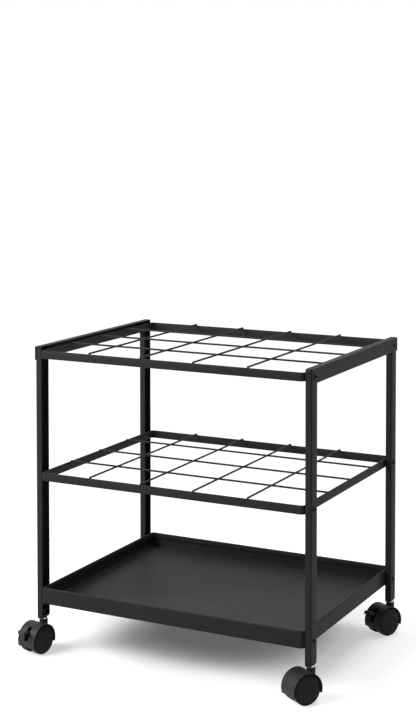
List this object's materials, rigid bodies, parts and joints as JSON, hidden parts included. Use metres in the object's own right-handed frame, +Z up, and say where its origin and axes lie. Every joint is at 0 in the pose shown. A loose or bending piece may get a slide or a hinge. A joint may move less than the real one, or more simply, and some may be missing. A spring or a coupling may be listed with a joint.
{
  "type": "blueprint storage cart",
  "caption": "Black steel rolling stand for rolled drawings: two square wire grids over a folded tray, channel posts and twin-wheel casters, two of them with brake levers.",
  "frame": {"origin": "on the floor, under the middle of the cart", "axes": "+X to the cart's right along its longer side, +Y from the front to the rear, +Z up"},
  "size_m": [0.5675, 0.472, 0.5445],
  "materials": {
    "frame_coat": "satin black powder coat",
    "tray_coat": "semi-gloss black powder coat",
    "bolt_black": "blackened steel, satin",
    "caster_nylon": "fine-grained black nylon",
    "wheel_nylon": "smooth black nylon",
    "zinc_steel": "bright zinc plate"
  },
  "bodies": {
    "root": {"top_tier_frame": "frame_coat", "middle_tier_frame": "frame_coat", "top_cross_wire_1": "frame_coat", "top_cross_wire_2": "frame_coat", "top_cross_wire_3": "frame_coat", "middle_cross_wire_1": "frame_coat", "middle_cross_wire_2": "frame_coat", "middle_cross_wire_3": "frame_coat", "top_long_wire_1": "frame_coat", "top_long_wire_2": "frame_coat", "top_long_wire_3": "frame_coat", "top_long_wire_4": "frame_coat", "middle_long_wire_1": "frame_coat", "middle_long_wire_2": "frame_coat", "middle_long_wire_3": "frame_coat", "middle_long_wire_4": "frame_coat", "tray": "tray_coat", "left_rail": "frame_coat", "right_rail": "frame_coat", "front_left_post": "frame_coat", "front_left_top_bolt": "bolt_black", "front_left_middle_bolt": "bolt_black", "front_left_tray_bolt": "bolt_black", "front_left_caster_stem": "zinc_steel", "front_right_post": "frame_coat", "front_right_top_bolt": "bolt_black", "front_right_middle_bolt": "bolt_black", "front_right_tray_bolt": "bolt_black", "front_right_caster_stem": "zinc_steel", "rear_left_post": "frame_coat", "rear_left_top_bolt": "bolt_black", "rear_left_middle_bolt": "bolt_black", "rear_left_tray_bolt": "bolt_black", "rear_left_caster_stem": "zinc_steel", "rear_right_post": "frame_coat", "rear_right_top_bolt": "bolt_black", "rear_right_middle_bolt": "bolt_black", "rear_right_tray_bolt": "bolt_black", "rear_right_caster_stem": "zinc_steel"},
    "front_left_caster": {"front_left_caster_hood": "caster_nylon", "front_left_caster_axle": "zinc_steel"},
    "front_left_inner_wheel": {"front_left_inner_wheel": "wheel_nylon"},
    "front_left_outer_wheel": {"front_left_outer_wheel": "wheel_nylon"},
    "front_left_brake_lever": {"front_left_brake_lever": "caster_nylon"},
    "front_right_caster": {"front_right_caster_hood": "caster_nylon", "front_right_caster_axle": "zinc_steel"},
    "front_right_inner_wheel": {"front_right_inner_wheel": "wheel_nylon"},
    "front_right_outer_wheel": {"front_right_outer_wheel": "wheel_nylon"},
    "rear_left_caster": {"rear_left_caster_hood": "caster_nylon", "rear_left_caster_axle": "zinc_steel"},
    "rear_left_inner_wheel": {"rear_left_inner_wheel": "wheel_nylon"},
    "rear_left_outer_wheel": {"rear_left_outer_wheel": "wheel_nylon"},
    "rear_right_caster": {"rear_right_caster_hood": "caster_nylon", "rear_right_caster_axle": "zinc_steel"},
    "rear_right_inner_wheel": {"rear_right_inner_wheel": "wheel_nylon"},
    "rear_right_outer_wheel": {"rear_right_outer_wheel": "wheel_nylon"},
    "rear_right_brake_lever": {"rear_right_brake_lever": "caster_nylon"}
  },
  "joints": [
    {"name": "front_left_swivel", "type": "hinge", "parent": "root", "child": "front_left_caster", "pos_m": [-0.25965, -0.182, 0.05], "axis": [0, 0, 1], "continuous": true},
    {"name": "front_left_inner_spin", "type": "hinge", "parent": "front_left_caster", "child": "front_left_inner_wheel", "pos_m": [-0.26257, -0.19946, 0.025], "axis": [0.9863, -0.165, 0], "continuous": true},
    {"name": "front_left_outer_spin", "type": "hinge", "parent": "front_left_caster", "child": "front_left_outer_wheel", "pos_m": [-0.26257, -0.19946, 0.025], "axis": [0.9863, -0.165, 0], "continuous": true},
    {"name": "front_left_brake", "type": "hinge", "parent": "front_left_caster", "child": "front_left_brake_lever", "pos_m": [-0.2649, -0.21338, 0.03771], "axis": [0.9863, -0.165, 0], "range_deg": [0, 28]},
    {"name": "front_right_swivel", "type": "hinge", "parent": "root", "child": "front_right_caster", "pos_m": [0.25965, -0.182, 0.05], "axis": [0, 0, 1], "continuous": true},
    {"name": "front_right_inner_spin", "type": "hinge", "parent": "front_right_caster", "child": "front_right_inner_wheel", "pos_m": [0.25022, -0.19698, 0.025], "axis": [0.8462, -0.5329, 0], "continuous": true},
    {"name": "front_right_outer_spin", "type": "hinge", "parent": "front_right_caster", "child": "front_right_outer_wheel", "pos_m": [0.25022, -0.19698, 0.025], "axis": [0.8462, -0.5329, 0], "continuous": true},
    {"name": "rear_left_swivel", "type": "hinge", "parent": "root", "child": "rear_left_caster", "pos_m": [-0.25965, 0.182, 0.05], "axis": [0, 0, 1], "continuous": true},
    {"name": "rear_left_inner_spin", "type": "hinge", "parent": "rear_left_caster", "child": "rear_left_inner_wheel", "pos_m": [-0.2536, 0.19863, 0.025], "axis": [-0.9397, 0.342, 0], "continuous": true},
    {"name": "rear_left_outer_spin", "type": "hinge", "parent": "rear_left_caster", "child": "rear_left_outer_wheel", "pos_m": [-0.2536, 0.19863, 0.025], "axis": [-0.9397, 0.342, 0], "continuous": true},
    {"name": "rear_right_swivel", "type": "hinge", "parent": "root", "child": "rear_right_caster", "pos_m": [0.25965, 0.182, 0.05], "axis": [0, 0, 1], "continuous": true},
    {"name": "rear_right_inner_spin", "type": "hinge", "parent": "rear_right_caster", "child": "rear_right_inner_wheel", "pos_m": [0.25189, 0.16609, 0.025], "axis": [0.8988, -0.4384, 0], "continuous": true},
    {"name": "rear_right_outer_spin", "type": "hinge", "parent": "rear_right_caster", "child": "rear_right_outer_wheel", "pos_m": [0.25189, 0.16609, 0.025], "axis": [0.8988, -0.4384, 0], "continuous": true},
    {"name": "rear_right_brake", "type": "hinge", "parent": "rear_right_caster", "child": "rear_right_brake_lever", "pos_m": [0.2457, 0.1534, 0.03771], "axis": [0.8988, -0.4384, 0], "range_deg": [0, 28]}
  ]
}
